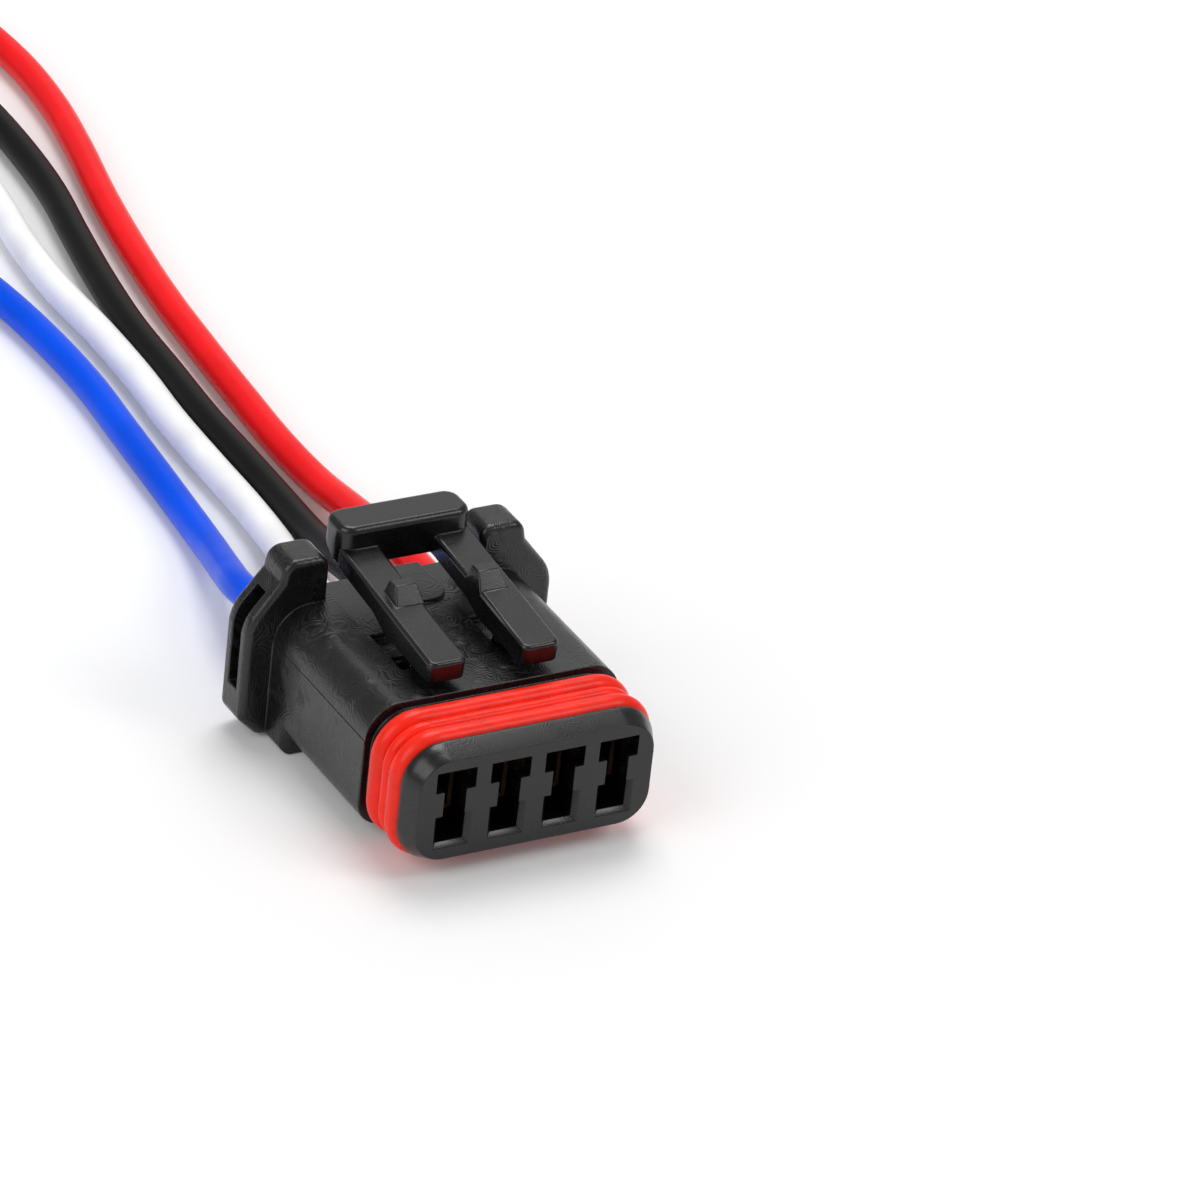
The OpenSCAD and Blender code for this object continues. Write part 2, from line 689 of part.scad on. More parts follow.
module front_retainer() {
    color([0.1, 0.1, 0.11]) place() {
        difference() {
            retainer_blank();
            along_y(plate_t, rim_depth + eps) nose_section(slide_gap);
            at_every_way() along_y(-eps, plate_t + eps) slot_section();
            at_every_way() slot_mouth();
        }
        both_sides() retainer_leg();
    }
}

// Latch lever: two nubbed arms, a thumb bar and round roots

// Side outline of an arm below its upper face: Y along the plug, Z from the deck
module arm_section() {
    end_y = bar_y + arm_into_bar;
    polygon([
        [lever_y, arm_gap], [lever_y, arm_top(lever_y) + arm_round],
        [end_y, arm_top(end_y) + arm_round],
        [end_y, arm_top(bar_y) - arm_rear_t], [bar_y, arm_top(bar_y) - arm_rear_t],
        [nub_end_y, arm_top(nub_end_y) - arm_rear_t], [nub_y, arm_gap + arm_step],
    ]);
}

// Side outline of a nub: a ramp in front, a small flat top and a steep back
module nub_section() {
    polygon([
        [nub_y, arm_top(nub_y) - nub_root], [nub_y, arm_top(nub_y)],
        [nub_y + nub_ramp, arm_top(nub_y) + nub_h], [nub_end_y - nub_back, arm_top(nub_y) + nub_h],
        [nub_end_y, arm_top(nub_end_y)], [nub_end_y, arm_top(nub_end_y) - nub_root],
    ]);
}

// A nub, narrower at its top
module nub() {
    low = arm_top(nub_y) - nub_root;
    high = arm_top(nub_y) + nub_h;
    in_x = arm_spacing / 2 - arm_w / 2;
    out_x = in_x + arm_w - nub_inset;
    intersection() {
        along_x(in_x, out_x) nub_section();
        along_y(nub_y, nub_end_y) polygon([
            [in_x, low - eps], [out_x, low - eps], [out_x, low + nub_root],
            [out_x - nub_top_in, high + eps], [in_x + nub_top_in, high + eps], [in_x, low + nub_root],
        ]);
    }
}

// Side outline of the thumb bar, with its underside sloping up to the rear
module bar_section() {
    low = arm_top(bar_y) - arm_rear_t;
    polygon([
        [bar_y, low], [bar_y, bar_top + eps], [bar_end_y, bar_top + eps],
        [bar_end_y, bar_top - bar_rise], [bar_y + bar_heel, low],
    ]);
}

module thumb_bar() {
    bar_h = bar_rise + arm_rear_t;
    half = bar_w / 2;
    intersection() {
        along_x(-half, half) bar_section();
        translate([0, 0, bar_top - bar_h]) soft_plate([
            [-half, bar_y, bar_corner], [half, bar_y, bar_corner],
            [half, bar_end_y, bar_corner], [-half, bar_end_y, bar_corner],
        ], bar_h, bar_round);
    }
}

// One arm: its upper face rises to the rear, with soft edges and rounded front corners
module arm() {
    half = arm_w / 2;
    plate_len = bar_end_y - lever_y;
    plate_h = arm_front_t + arm_rear_t;
    intersection() {
        along_x(-half, half) arm_section();
        translate([0, lever_y, arm_top(lever_y)]) rotate([arm_rise, 0, 0]) translate([0, 0, -plate_h])
            soft_plate([
                [-half, 0, arm_corner], [half, 0, arm_corner],
                [half, plate_len, arm_corner], [-half, plate_len, arm_corner],
            ], plate_h, arm_round);
    }
}

// Round root in its pocket, and the web that joins it to an arm
module root() {
    in_x = hump_w / 2 + root_end_gap;
    out_x = arm_spacing / 2 + arm_w / 2 - root_inset;
    translate([in_x, root_y, -root_height]) rotate([0, 90, 0]) cylinder(h = out_x - in_x, r = root_r);
    box_between(
        [in_x, root_y - root_web / 2, -root_height],
        [out_x, root_y + root_web / 2, arm_gap + root_web]
    );
}

module latch_lever() {
    color([0.1, 0.1, 0.11]) place() translate([0, 0, deck_z]) {
        thumb_bar();
        both_sides() {
            translate([arm_spacing / 2, 0, 0]) arm();
            nub();
            root();
        }
    }
}

// Terminals, wire seals and leads, one of each to a way

// Spring leaf inside the box, in Y and Z
module leaf_section() {
    top = box_h / 2 - sheet_t / 2;
    under = top - leaf_t;
    front = terminal_y + leaf_inset;
    back = box_end_y - leaf_inset;
    mid = (front + back) / 2;
    polygon([
        [front, top], [front + leaf_tab, top], [mid - leaf_tab, leaf_low + leaf_t],
        [mid + leaf_tab, leaf_low + leaf_t], [back - leaf_tab, top], [back, top],
        [back, under], [back - leaf_tab, under], [mid + leaf_tab, leaf_low],
        [mid - leaf_tab, leaf_low], [front + leaf_tab, under], [front, under],
    ]);
}

// Floor strip from the box through both crimps, in Y and Z
module strip_section() {
    box_low = -box_h / 2;
    core_low = -crimp_core_r - sheet_t;
    wire_low = -crimp_wire_r - sheet_t;
    polygon([
        [box_end_y - core_reach, box_low], [core_crimp_y - core_reach, core_low],
        [core_crimp_end_y + core_reach, core_low], [wire_crimp_y - wire_reach, wire_low],
        [wire_crimp_y + wire_reach, wire_low], [wire_crimp_y + wire_reach, wire_low + sheet_t],
        [wire_crimp_y - wire_reach / 2, wire_low + sheet_t],
        [core_crimp_end_y + core_reach, core_low + sheet_t],
        [core_crimp_y - core_reach, core_low + sheet_t], [box_end_y - wire_reach, box_low + sheet_t],
    ]);
}

// Rolled crimp with the seam groove along its top
module crimp(y0, y1, r) {
    top = r + sheet_t + eps;
    difference() {
        cylinder_y(y0, y1, r + sheet_t);
        cylinder_y(y0 - eps, y1 + eps, r);
        along_y(y0 - eps, y1 + eps) polygon([[-seam_w / 2, top], [seam_w / 2, top], [0, r + sheet_t / 3]]);
    }
}

module terminal(way) {
    inner = [box_w / 2 - sheet_t, box_h / 2 - sheet_t];
    color([0.78, 0.62, 0.3]) place() at_way(way) {
        difference() {
            box_between([-box_w / 2, terminal_y, -box_h / 2], [box_w / 2, box_end_y, box_h / 2]);
            box_between([-inner[0], terminal_y - eps, -inner[1]], [inner[0], box_end_y + eps, inner[1]]);
            box_between(
                [-lance_w / 2 - hook_gap, lance_y - hook_gap, 0],
                [lance_w / 2 + hook_gap, lance_y + hook_len + hook_gap, box_h]
            );
        }
        along_x(-leaf_w / 2, leaf_w / 2) difference() {
            leaf_section();
            translate([lance_y - hook_gap, inner[1] - hook_gap]) square([hook_len + 2 * hook_gap, box_h]);
        }
        along_x(-leaf_w / 2, leaf_w / 2) strip_section();
        crimp(core_crimp_y, core_crimp_end_y, crimp_core_r);
        crimp(wire_crimp_y, wire_crimp_end_y, crimp_wire_r);
    }
}

module wire_seal(way) {
    rib_r = bore_d / 2 - seal_play;
    inner_r = wire_d / 2 + seal_play;
    sleeve_r = (rib_r + inner_r) / 2;
    rib_pitch = wire_seal_len / wire_seal_ribs;
    color([0.75, 0.28, 0.12]) place() at_way(way)
        translate([0, wire_seal_y + wire_seal_len, 0]) rotate([90, 0, 0]) rotate_extrude() difference() {
            union() {
                translate([inner_r, 0]) square([sleeve_r - inner_r, wire_seal_len]);
                for (i = [0 : wire_seal_ribs - 1])
                    translate([rib_r - wire_rib_r, (i + 0.5) * rib_pitch]) circle(wire_rib_r);
            }
            square([inner_r, wire_seal_len]);
        }
}

LEAD_COLOURS = [[0.02, 0.25, 0.85], [0.92, 0.92, 0.92], [0.06, 0.06, 0.06], [0.88, 0.08, 0.1]];

// Round insulation swept along the lead's route
module lead(way) {
    r = wire_d / 2;
    centres = lead_centres(way);
    ring_ids = [for (j = [0 : lead_sides - 1]) j];
    verts = [
        for (i = [0 : lead_rings - 1])
            let (
                ahead = unit(centres[min(i + 1, lead_rings - 1)] - centres[max(i - 1, 0)]),
                side = unit(cross(ahead, [0, 0, 1])),
                up = cross(side, ahead)
            )
            for (j = ring_ids)
                let (a = 360 * (j + 0.5) / lead_sides)
                centres[i] + r * (cos(a) * side + sin(a) * up)
    ];
    sides = [
        for (i = [0 : lead_rings - 2], j = ring_ids)
            let (a = i * lead_sides + j, b = i * lead_sides + (j + 1) % lead_sides)
            each [[a, b, b + lead_sides], [a, b + lead_sides, a + lead_sides]]
    ];
    end_base = (lead_rings - 1) * lead_sides;
    ends = [[for (j = ring_ids) lead_sides - 1 - j], [for (j = ring_ids) end_base + j]];
    color(LEAD_COLOURS[way]) polyhedron(points = verts, faces = concat(sides, ends));
}

// Bare strands: one stub in the crimp and one at the lead's free end
module strands(way) {
    centres = lead_centres(way);
    tip = centres[lead_rings - 1];
    ahead = unit(tip - centres[lead_rings - 2]);
    color([0.72, 0.45, 0.22]) {
        place() at_way(way) cylinder_y(core_crimp_y - core_reach, wire_start_y, core_d / 2);
        translate(tip) rotate([0, 90, atan2(ahead[1], ahead[0])]) cylinder(h = bare_len, r = core_d / 2);
    }
}

module terminal_blue() { terminal(BLUE); }
module terminal_white() { terminal(WHITE); }
module terminal_black() { terminal(BLACK); }
module terminal_red() { terminal(RED); }
module wire_seal_blue() { wire_seal(BLUE); }
module wire_seal_white() { wire_seal(WHITE); }
module wire_seal_black() { wire_seal(BLACK); }
module wire_seal_red() { wire_seal(RED); }
module lead_blue() { lead(BLUE); }
module lead_white() { lead(WHITE); }
module lead_black() { lead(BLACK); }
module lead_red() { lead(RED); }
module strands_blue() { strands(BLUE); }
module strands_white() { strands(WHITE); }
module strands_black() { strands(BLACK); }
module strands_red() { strands(RED); }

housing();
latch_lever();
front_retainer();
ring_seal();
terminal_blue();
terminal_white();
terminal_black();
terminal_red();
wire_seal_blue();
wire_seal_white();
wire_seal_black();
wire_seal_red();
lead_blue();
lead_white();
lead_black();
lead_red();
strands_blue();
strands_white();
strands_black();
strands_red();
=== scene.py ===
"""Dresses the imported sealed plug: rounded mouldings, seals, terminals, leads, stage and camera."""

import logging
import math
from dataclasses import dataclass, field
from enum import Enum
from typing import Any, Optional, Sequence, Union

import bmesh
import bpy
from mathutils import Matrix, Vector


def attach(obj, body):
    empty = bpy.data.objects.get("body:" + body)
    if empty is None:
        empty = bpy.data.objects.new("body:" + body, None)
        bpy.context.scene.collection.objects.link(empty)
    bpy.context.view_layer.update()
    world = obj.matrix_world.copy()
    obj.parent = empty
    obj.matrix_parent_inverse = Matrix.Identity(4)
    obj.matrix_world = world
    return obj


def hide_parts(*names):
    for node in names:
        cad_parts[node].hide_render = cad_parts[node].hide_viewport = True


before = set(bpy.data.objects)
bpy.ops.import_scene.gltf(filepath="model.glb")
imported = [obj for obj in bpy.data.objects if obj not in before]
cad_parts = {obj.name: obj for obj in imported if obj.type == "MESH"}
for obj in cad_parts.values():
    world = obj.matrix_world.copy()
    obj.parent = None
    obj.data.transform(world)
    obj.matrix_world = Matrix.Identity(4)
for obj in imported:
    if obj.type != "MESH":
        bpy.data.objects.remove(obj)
LOG = logging.getLogger("plug")
MM = 0.001
# Lengths up to this count as none, in metres.
TINY = 1e-9
Number = Union[int, float]
Colour = tuple[float, float, float]


class Body(Enum):
    """Moving bodies of the plug."""

    PLUG = "plug"
    LATCH = "latch"
    RETAINER = "retainer"


class Way(Enum):
    """Ways of the plug, named for the colour of their leads."""

    BLUE = "blue"
    WHITE = "white"
    BLACK = "black"
    RED = "red"


# Shader graphs


def tint(colour: Colour, factor: float) -> Colour:
    """Scales a colour."""
    return (colour[0] * factor, colour[1] * factor, colour[2] * factor)


class Signal:
    """A shader socket that can be used in arithmetic."""

    def __init__(self, graph: "Graph", socket: Optional[bpy.types.NodeSocket]) -> None:
        """Keeps the graph and the socket.

        Args:
            graph: Graph that the socket belongs to.
            socket: Output socket that carries the value, or None at the end of a graph.
        """
        self.graph = graph
        self.socket = socket

    def _math(self, operation: str, *values: Union["Signal", Number]) -> "Signal":
        """Adds one Math node.

        Args:
            operation: Name of the operation.
            values: Operands, in order.

        Returns:
            The result.
        """
        return self.graph.node("ShaderNodeMath", {"operation": operation}, dict(enumerate(values)))

    def __add__(self, other: Union["Signal", Number]) -> "Signal":
        """Adds a value."""
        return self._math("ADD", self, other)

    def __radd__(self, other: Number) -> "Signal":
        """Adds to a number."""
        return self._math("ADD", other, self)

    def __sub__(self, other: Union["Signal", Number]) -> "Signal":
        """Takes a value away."""
        return self._math("SUBTRACT", self, other)

    def __rsub__(self, other: Number) -> "Signal":
        """Takes this away from a number."""
        return self._math("SUBTRACT", other, self)

    def __mul__(self, other: Union["Signal", Number]) -> "Signal":
        """Multiplies by a value."""
        return self._math("MULTIPLY", self, other)

    def __rmul__(self, other: Number) -> "Signal":
        """Multiplies a number."""
        return self._math("MULTIPLY", other, self)

    def highest(self, other: Union["Signal", Number]) -> "Signal":
        """The larger of two values."""
        return self._math("MAXIMUM", self, other)

    def sine(self) -> "Signal":
        """Sine of the value, in radians."""
        return self._math("SINE", self)

    def between(self, low: float, high: float) -> "Signal":
        """Makes a smooth step.

        Args:
            low: Value up to which the step is 0.
            high: Value from which the step is 1.

        Returns:
            The step, from 0 to 1.
        """
        return self.graph.node(
            "ShaderNodeMapRange",
            {"interpolation_type": "SMOOTHSTEP"},
            {"Value": self, "From Min": low, "From Max": high},
        )


class Graph:
    """Node tree of one material or of the world."""

    def __init__(self, owner: Union[str, bpy.types.World]) -> None:
        """Makes an empty tree.

        Args:
            owner: Name of a new material, or the world that owns the tree.
        """
        self.owner = bpy.data.materials.new(owner) if isinstance(owner, str) else owner
        self.owner.use_nodes = True
        self.tree = self.owner.node_tree
        self.tree.nodes.clear()

    def node(
        self,
        kind: str,
        settings: Optional[dict[str, Any]] = None,
        sockets: Optional[dict[Union[str, int], Any]] = None,
        output: Union[str, int] = 0,
    ) -> Signal:
        """Adds a node: its settings first, then the values or links of its sockets.

        Args:
            kind: Blender's type name of the node.
            settings: Attributes of the node.
            sockets: Values or signals by socket name or number.
            output: Name or number of the output that is returned.

        Returns:
            The chosen output.
        """
        made = self.tree.nodes.new(kind)
        for key, value in (settings or {}).items():
            setattr(made, key, value)
        for key, value in (sockets or {}).items():
            if isinstance(value, Signal):
                self.tree.links.new(value.socket, made.inputs[key])
            else:
                made.inputs[key].default_value = value
        return Signal(self, made.outputs[output] if made.outputs else None)

    def seen(self) -> Signal:
        """Tells what the camera sees from what only lights.

        Returns:
            1 for what the camera sees, mirrors or sees through, and 0 for the rest.
        """
        camera, glossy, through = [
            self.node("ShaderNodeLightPath", output=f"Is {ray} Ray")
            for ray in ("Camera", "Glossy", "Transmission")
        ]
        return camera.highest(glossy).highest(through)

    def point(self) -> Signal:
        """Position in the part's own frame, in metres."""
        return self.node("ShaderNodeTexCoord", output="Object")

    def noise(self, size: float, detail: float = 2.0) -> Signal:
        """Makes soft noise.

        Args:
            size: Size of a blob, in metres.
            detail: Octaves.

        Returns:
            A value around one half.
        """
        return self.node(
            "ShaderNodeTexNoise",
            None,
            {"Vector": self.point(), "Scale": 1.0 / size, "Detail": detail},
        )

    def rings(self, size: float, pull: float = 0.4, merge: float = 0.5) -> Signal:
        """Measures the distance from scattered middles, pulled about by soft noise.

        Args:
            size: Space between the middles, in metres.
            pull: How far the rings are pulled about, as a share of the space.
            merge: How softly the rings of two middles meet.

        Returns:
            The distance in metres.
        """
        sway = self.node(
            "ShaderNodeTexNoise",
            None,
            {"Vector": self.point(), "Scale": 1.0 / size, "Detail": 1.0},
            output="Color",
        )
        at = self.node(
            "ShaderNodeVectorMath",
            {"operation": "MULTIPLY_ADD"},
            {0: sway, 1: (2.0 * pull * size,) * 3, 2: self.point()},
        )
        reach = self.node(
            "ShaderNodeTexVoronoi",
            {"feature": "SMOOTH_F1"},
            {"Vector": at, "Scale": 1.0 / size, "Smoothness": merge},
        )
        return reach * size

    def blend(self, amount: Union[Signal, float], low: Any, high: Any) -> Signal:
        """Mixes two colours.

        Args:
            amount: 0 for the first, 1 for the second.
            low: First colour or signal.
            high: Second colour or signal.

        Returns:
            The mixed colour.
        """
        first, second = [value if isinstance(value, Signal) else (*value, 1.0) for value in (low, high)]
        return self.node(
            "ShaderNodeMix",
            {"data_type": "RGBA"},
            {0: amount, 6: first, 7: second},
            output=2,
        )

    def mottled(self, amount: Signal, colour: Colour, shades: tuple[float, float]) -> Signal:
        """Varies a colour between two shades of it.

        Args:
            amount: 0 for the first shade, 1 for the second.
            colour: Colour to vary.
            shades: Factor of each shade.

        Returns:
            The varied colour.
        """
        low, high = (tint(colour, shade) for shade in shades)
        return self.blend(amount, low, high)

    def bump(self, height: Signal, depth: float, normal: Optional[Signal] = None) -> Signal:
        """Turns a height into a normal.

        Args:
            height: Height from 0 to 1.
            depth: Depth of a full step, in metres.
            normal: Normal under it, or the surface's own.

        Returns:
            The bumped normal.
        """
        sockets: dict[Union[str, int], Any] = {"Strength": 1.0, "Distance": depth, "Height": height}
        if normal is not None:
            sockets["Normal"] = normal
        return self.node("ShaderNodeBump", None, sockets)

    def surface(self, ior: float = 1.5, **sockets: Any) -> bpy.types.Material:
        """Closes the graph with a Principled shader.

        Args:
            ior: Refractive index.
            sockets: Values or signals by socket name, with _ for a space.

        Returns:
            The finished material.
        """
        named: dict[Union[str, int], Any] = {"IOR": ior}
        for key, value in sockets.items():
            named[key.replace("_", " ")] = value
        shader = self.node("ShaderNodeBsdfPrincipled", None, named)
        self.node("ShaderNodeOutputMaterial", None, {"Surface": shader})
        return self.owner


# Finishes

# Band of the soft noise that clouds a finish from its darkest to its palest shade.
CLOUD_BAND = (0.3, 0.7)


@dataclass(frozen=True)
class MouldedPlastic:
    """Black glass-filled plastic with an etched, swirling tool texture.

    Attributes:
        name: Name of the material.
        colour: Colour between the etched lines.
        roughness: Roughness without grain.
        specular: Strength of its mirror.
        cloud_size: Size of the clouds.
        cloud_band: Band of the noise that makes them.
        cloud_shades: Darkest and palest shade of the clouds.
        cloud_gloss: How far the clouds change the roughness.
        swirl_size: Space between the middles of the swirls.
        swirl_pitch: Space between the lines of a swirl.
        swirl_depth: Depth of the lines.
        swirl_sheen_tint: How many times paler the etched lines are painted, as painted sheen for the light
            they catch.
        wear_size: Size of the patches where the lines are worn.
        wear_band: Band of the noise from worn to fresh.
        wear: Share of the lines that is lost where they are worn.
        grain_size: Size of the grain.
        grain_depth: Depth of the grain.
        grain_gloss: How much the grain adds to the roughness.
    """

    name: str
    colour: Colour = (0.002, 0.002, 0.0021)
    roughness: float = 0.27
    specular: float = 0.5
    cloud_size: float = 2.6 * MM
    cloud_band: tuple[float, float] = (0.3, 0.75)
    cloud_shades: tuple[float, float] = (0.8, 1.25)
    cloud_gloss: float = 0.12
    swirl_size: float = 1.9 * MM
    swirl_pitch: float = 0.18 * MM
    swirl_depth: float = 0.013 * MM
    swirl_sheen_tint: float = 7.5
    wear_size: float = 3.0 * MM
    wear_band: tuple[float, float] = (0.38, 0.62)
    wear: float = 0.65
    grain_size: float = 0.10 * MM
    grain_depth: float = 0.004 * MM
    grain_gloss: float = 0.05

    def material(self) -> bpy.types.Material:
        """Builds the material.

        Returns:
            The material.
        """
        g = Graph(self.name)
        cloud = g.noise(self.cloud_size, detail=3.0)
        grain = g.noise(self.grain_size, detail=3.0)
        lines = self._lines(g)
        ground = g.mottled(cloud.between(*self.cloud_band), self.colour, self.cloud_shades)
        etched = g.bump(lines, self.swirl_depth)
        # The etched lines are painted paler in the base colour: painted sheen for the light that they catch.
        return g.surface(
            Base_Color=g.blend(lines, ground, tint(self.colour, self.swirl_sheen_tint)),
            Roughness=self.roughness + self.cloud_gloss * (cloud - 0.5) + self.grain_gloss * grain,
            Normal=g.bump(grain, self.grain_depth, etched),
            Specular_IOR_Level=self.specular,
        )

    def _lines(self, g: Graph) -> Signal:
        """Draws the etched lines, fainter where they are worn.

        Args:
            g: Graph of the material.

        Returns:
            0 between the lines and up to 1 on them.
        """
        turns = g.rings(self.swirl_size) * (2.0 * math.pi / self.swirl_pitch)
        waves = turns.sine() * 0.5 + 0.5
        worn = 1 - g.noise(self.wear_size).between(*self.wear_band)
        return waves * (1 - self.wear * worn)


@dataclass(frozen=True)
class Silicone:
    """Oiled silicone rubber.

    Attributes:
        name: Name of the material.
        colour: Colour of the rubber.
        roughness: Middle roughness.
        specular: Strength of its mirror.
        cloud_size: Size of the clouds.
        cloud_shades: Darkest and palest shade of the clouds.
        film_size: Size of the blobs of oil.
        film_depth: Depth of the oil.
        film_gloss: How far the oil changes the roughness.
    """

    name: str
    colour: Colour
    roughness: float = 0.3
    specular: float = 0.26
    cloud_size: float = 1.8 * MM
    cloud_shades: tuple[float, float] = (0.9, 1.06)
    film_size: float = 0.9 * MM
    film_depth: float = 0.016 * MM
    film_gloss: float = 0.16

    def material(self) -> bpy.types.Material:
        """Builds the material.

        Returns:
            The material.
        """
        g = Graph(self.name)
        cloud = g.noise(self.cloud_size, detail=3.0)
        film = g.noise(self.film_size, detail=1.0)
        return g.surface(
            Base_Color=g.mottled(cloud.between(*CLOUD_BAND), self.colour, self.cloud_shades),
            Roughness=self.roughness + self.film_gloss * (film - 0.5),
            Normal=g.bump(film, self.film_depth),
            Specular_IOR_Level=self.specular,
        )


@dataclass(frozen=True)
class Insulation:
    """Extruded insulation of a lead.

    Attributes:
        name: Name of the material.
        colour: Colour of the insulation.
        roughness: Middle roughness.
        specular: Strength of its mirror.
        cloud_size: Size of the clouds.
        cloud_shades: Darkest and palest shade of the clouds.
        skin_size: Size of the skin's unevenness.
        skin_depth: Depth of the skin's unevenness.
        skin_gloss: How far the skin changes the roughness.
    """

    name: str
    colour: Colour
    roughness: float = 0.3
    specular: float = 0.09
    cloud_size: float = 5.0 * MM
    cloud_shades: tuple[float, float] = (0.93, 1.05)
    skin_size: float = 0.35 * MM
    skin_depth: float = 0.006 * MM
    skin_gloss: float = 0.12

    def material(self) -> bpy.types.Material:
        """Builds the material.

        Returns:
            The material.
        """
        g = Graph(self.name)
        cloud = g.noise(self.cloud_size)
        skin = g.noise(self.skin_size, detail=3.0)
        return g.surface(
            Base_Color=g.mottled(cloud.between(*CLOUD_BAND), self.colour, self.cloud_shades),
            Roughness=self.roughness + self.skin_gloss * (skin - 0.5),
            Normal=g.bump(skin, self.skin_depth),
            Specular_IOR_Level=self.specular,
        )


@dataclass(frozen=True)
class Metal:
    """Drawn or stamped metal with fine rolling marks.

    Attributes:
        name: Name of the material.
        colour: Colour of the clean metal, or for the terminals a far darker colour that holds painted shade.
        roughness: Middle roughness.
        mark_size: Size of the rolling marks.
        mark_depth: Depth of the rolling marks.
        cloud_size: Size of the dull clouds.
        cloud_shades: Darkest and palest shade of the clouds.
        cloud_gloss: How far the clouds change the roughness.
    """

    name: str
    colour: Colour
    roughness: float
    mark_size: float = 0.09 * MM
    mark_depth: float = 0.004 * MM
    cloud_size: float = 0.8 * MM
    cloud_shades: tuple[float, float] = (0.82, 1.0)
    cloud_gloss: float = 0.2

    def material(self) -> bpy.types.Material:
        """Builds the material.

        Returns:
            The material.
        """
        g = Graph(self.name)
        cloud = g.noise(self.cloud_size, detail=3.0)
        marks = g.noise(self.mark_size)
        return g.surface(
            Base_Color=g.mottled(cloud.between(*CLOUD_BAND), self.colour, self.cloud_shades),
            Metallic=1.0,
            Roughness=self.roughness + self.cloud_gloss * (cloud - 0.5),
            Normal=g.bump(marks, self.mark_depth),
        )


@dataclass(frozen=True)
class Paper:
    """Pale floor that keeps the shadows and shows white in the open.

    Attributes:
        name: Name of the material.
        colour: Colour of the paper.
        lift: Light that is added to the floor where it is seen.
        cloud_size: Size of the clouds.
        cloud_shades: Darkest and palest shade of the clouds.
    """

    name: str = "floor_paper"
    colour: Colour = (0.88, 0.88, 0.883)
    lift: float = 0.05
    cloud_size: float = 60.0 * MM
    cloud_shades: tuple[float, float] = (0.995, 1.0)

    def material(self) -> bpy.types.Material:
        """Builds the material.

        Returns:
            The material.
        """
        g = Graph(self.name)
        colour = g.mottled(g.noise(self.cloud_size), self.colour, self.cloud_shades)
        matt = g.node("ShaderNodeBsdfDiffuse", None, {"Color": colour})
        glow = g.node("ShaderNodeEmission", None, {"Strength": g.seen() * self.lift})
        shown = g.node("ShaderNodeAddShader", None, {0: matt, 1: glow})
        g.node("ShaderNodeOutputMaterial", None, {"Surface": shown})
        return g.owner


MOULDING = MouldedPlastic("black_moulding")
SMOOTH_MOULDING = MouldedPlastic(
    "black_moulding_smooth", roughness=0.25, swirl_depth=0.0015 * MM, swirl_sheen_tint=2.4
)
RED_SILICONE = Silicone("red_silicone", (0.90, 0.020, 0.006))
BROWN_SILICONE = Silicone("brown_silicone", (0.42, 0.12, 0.04), roughness=0.5)
# The terminals' brass is painted almost black: painted shade of the deep slots that they sit in, not tinned
# brass under light.
SHADE_PAINTED_BRASS = Metal("terminal_brass", (0.10, 0.055, 0.03), roughness=0.5)
BARE_COPPER = Metal("bare_copper", (0.86, 0.46, 0.26), roughness=0.3, mark_size=0.06 * MM)
INSULATION: dict[Way, Insulation] = {
    Way.BLUE: Insulation("blue_insulation", (0.0, 0.078, 0.78)),
    Way.WHITE: Insulation("white_insulation", (0.92, 0.92, 0.925)),
    Way.BLACK: Insulation("black_insulation", (0.008, 0.008, 0.0085), roughness=0.38),
    Way.RED: Insulation("red_insulation", (0.90, 0.011, 0.015)),
}


# Pieces


def new_object(name: str, data: bpy.types.ID) -> bpy.types.Object:
    """Makes an object and links it to the scene.

    Args:
        name: Name of the piece.
        data: Mesh, curve, camera or lamp.

    Returns:
        The object.
    """
    made = bpy.data.objects.new(name, data)
    bpy.context.scene.collection.objects.link(made)
    return made


def smooth(mesh: bpy.types.Mesh) -> None:
    """Shades every face of a mesh smoothly."""
    for polygon in mesh.polygons:
        polygon.use_smooth = True


def mesh_object(name: str, verts: Sequence[Vector], faces: Sequence[Sequence[int]]) -> bpy.types.Object:
    """Makes a smooth mesh object.

    Args:
        name: Name of the piece.
        verts: Points, in metres.
        faces: Corner numbers of each face.

    Returns:
        The object.
    """
    mesh = bpy.data.meshes.new(name)
    mesh.from_pydata([tuple(v) for v in verts], [], faces)
    mesh.update()
    smooth(mesh)
    return new_object(name, mesh)


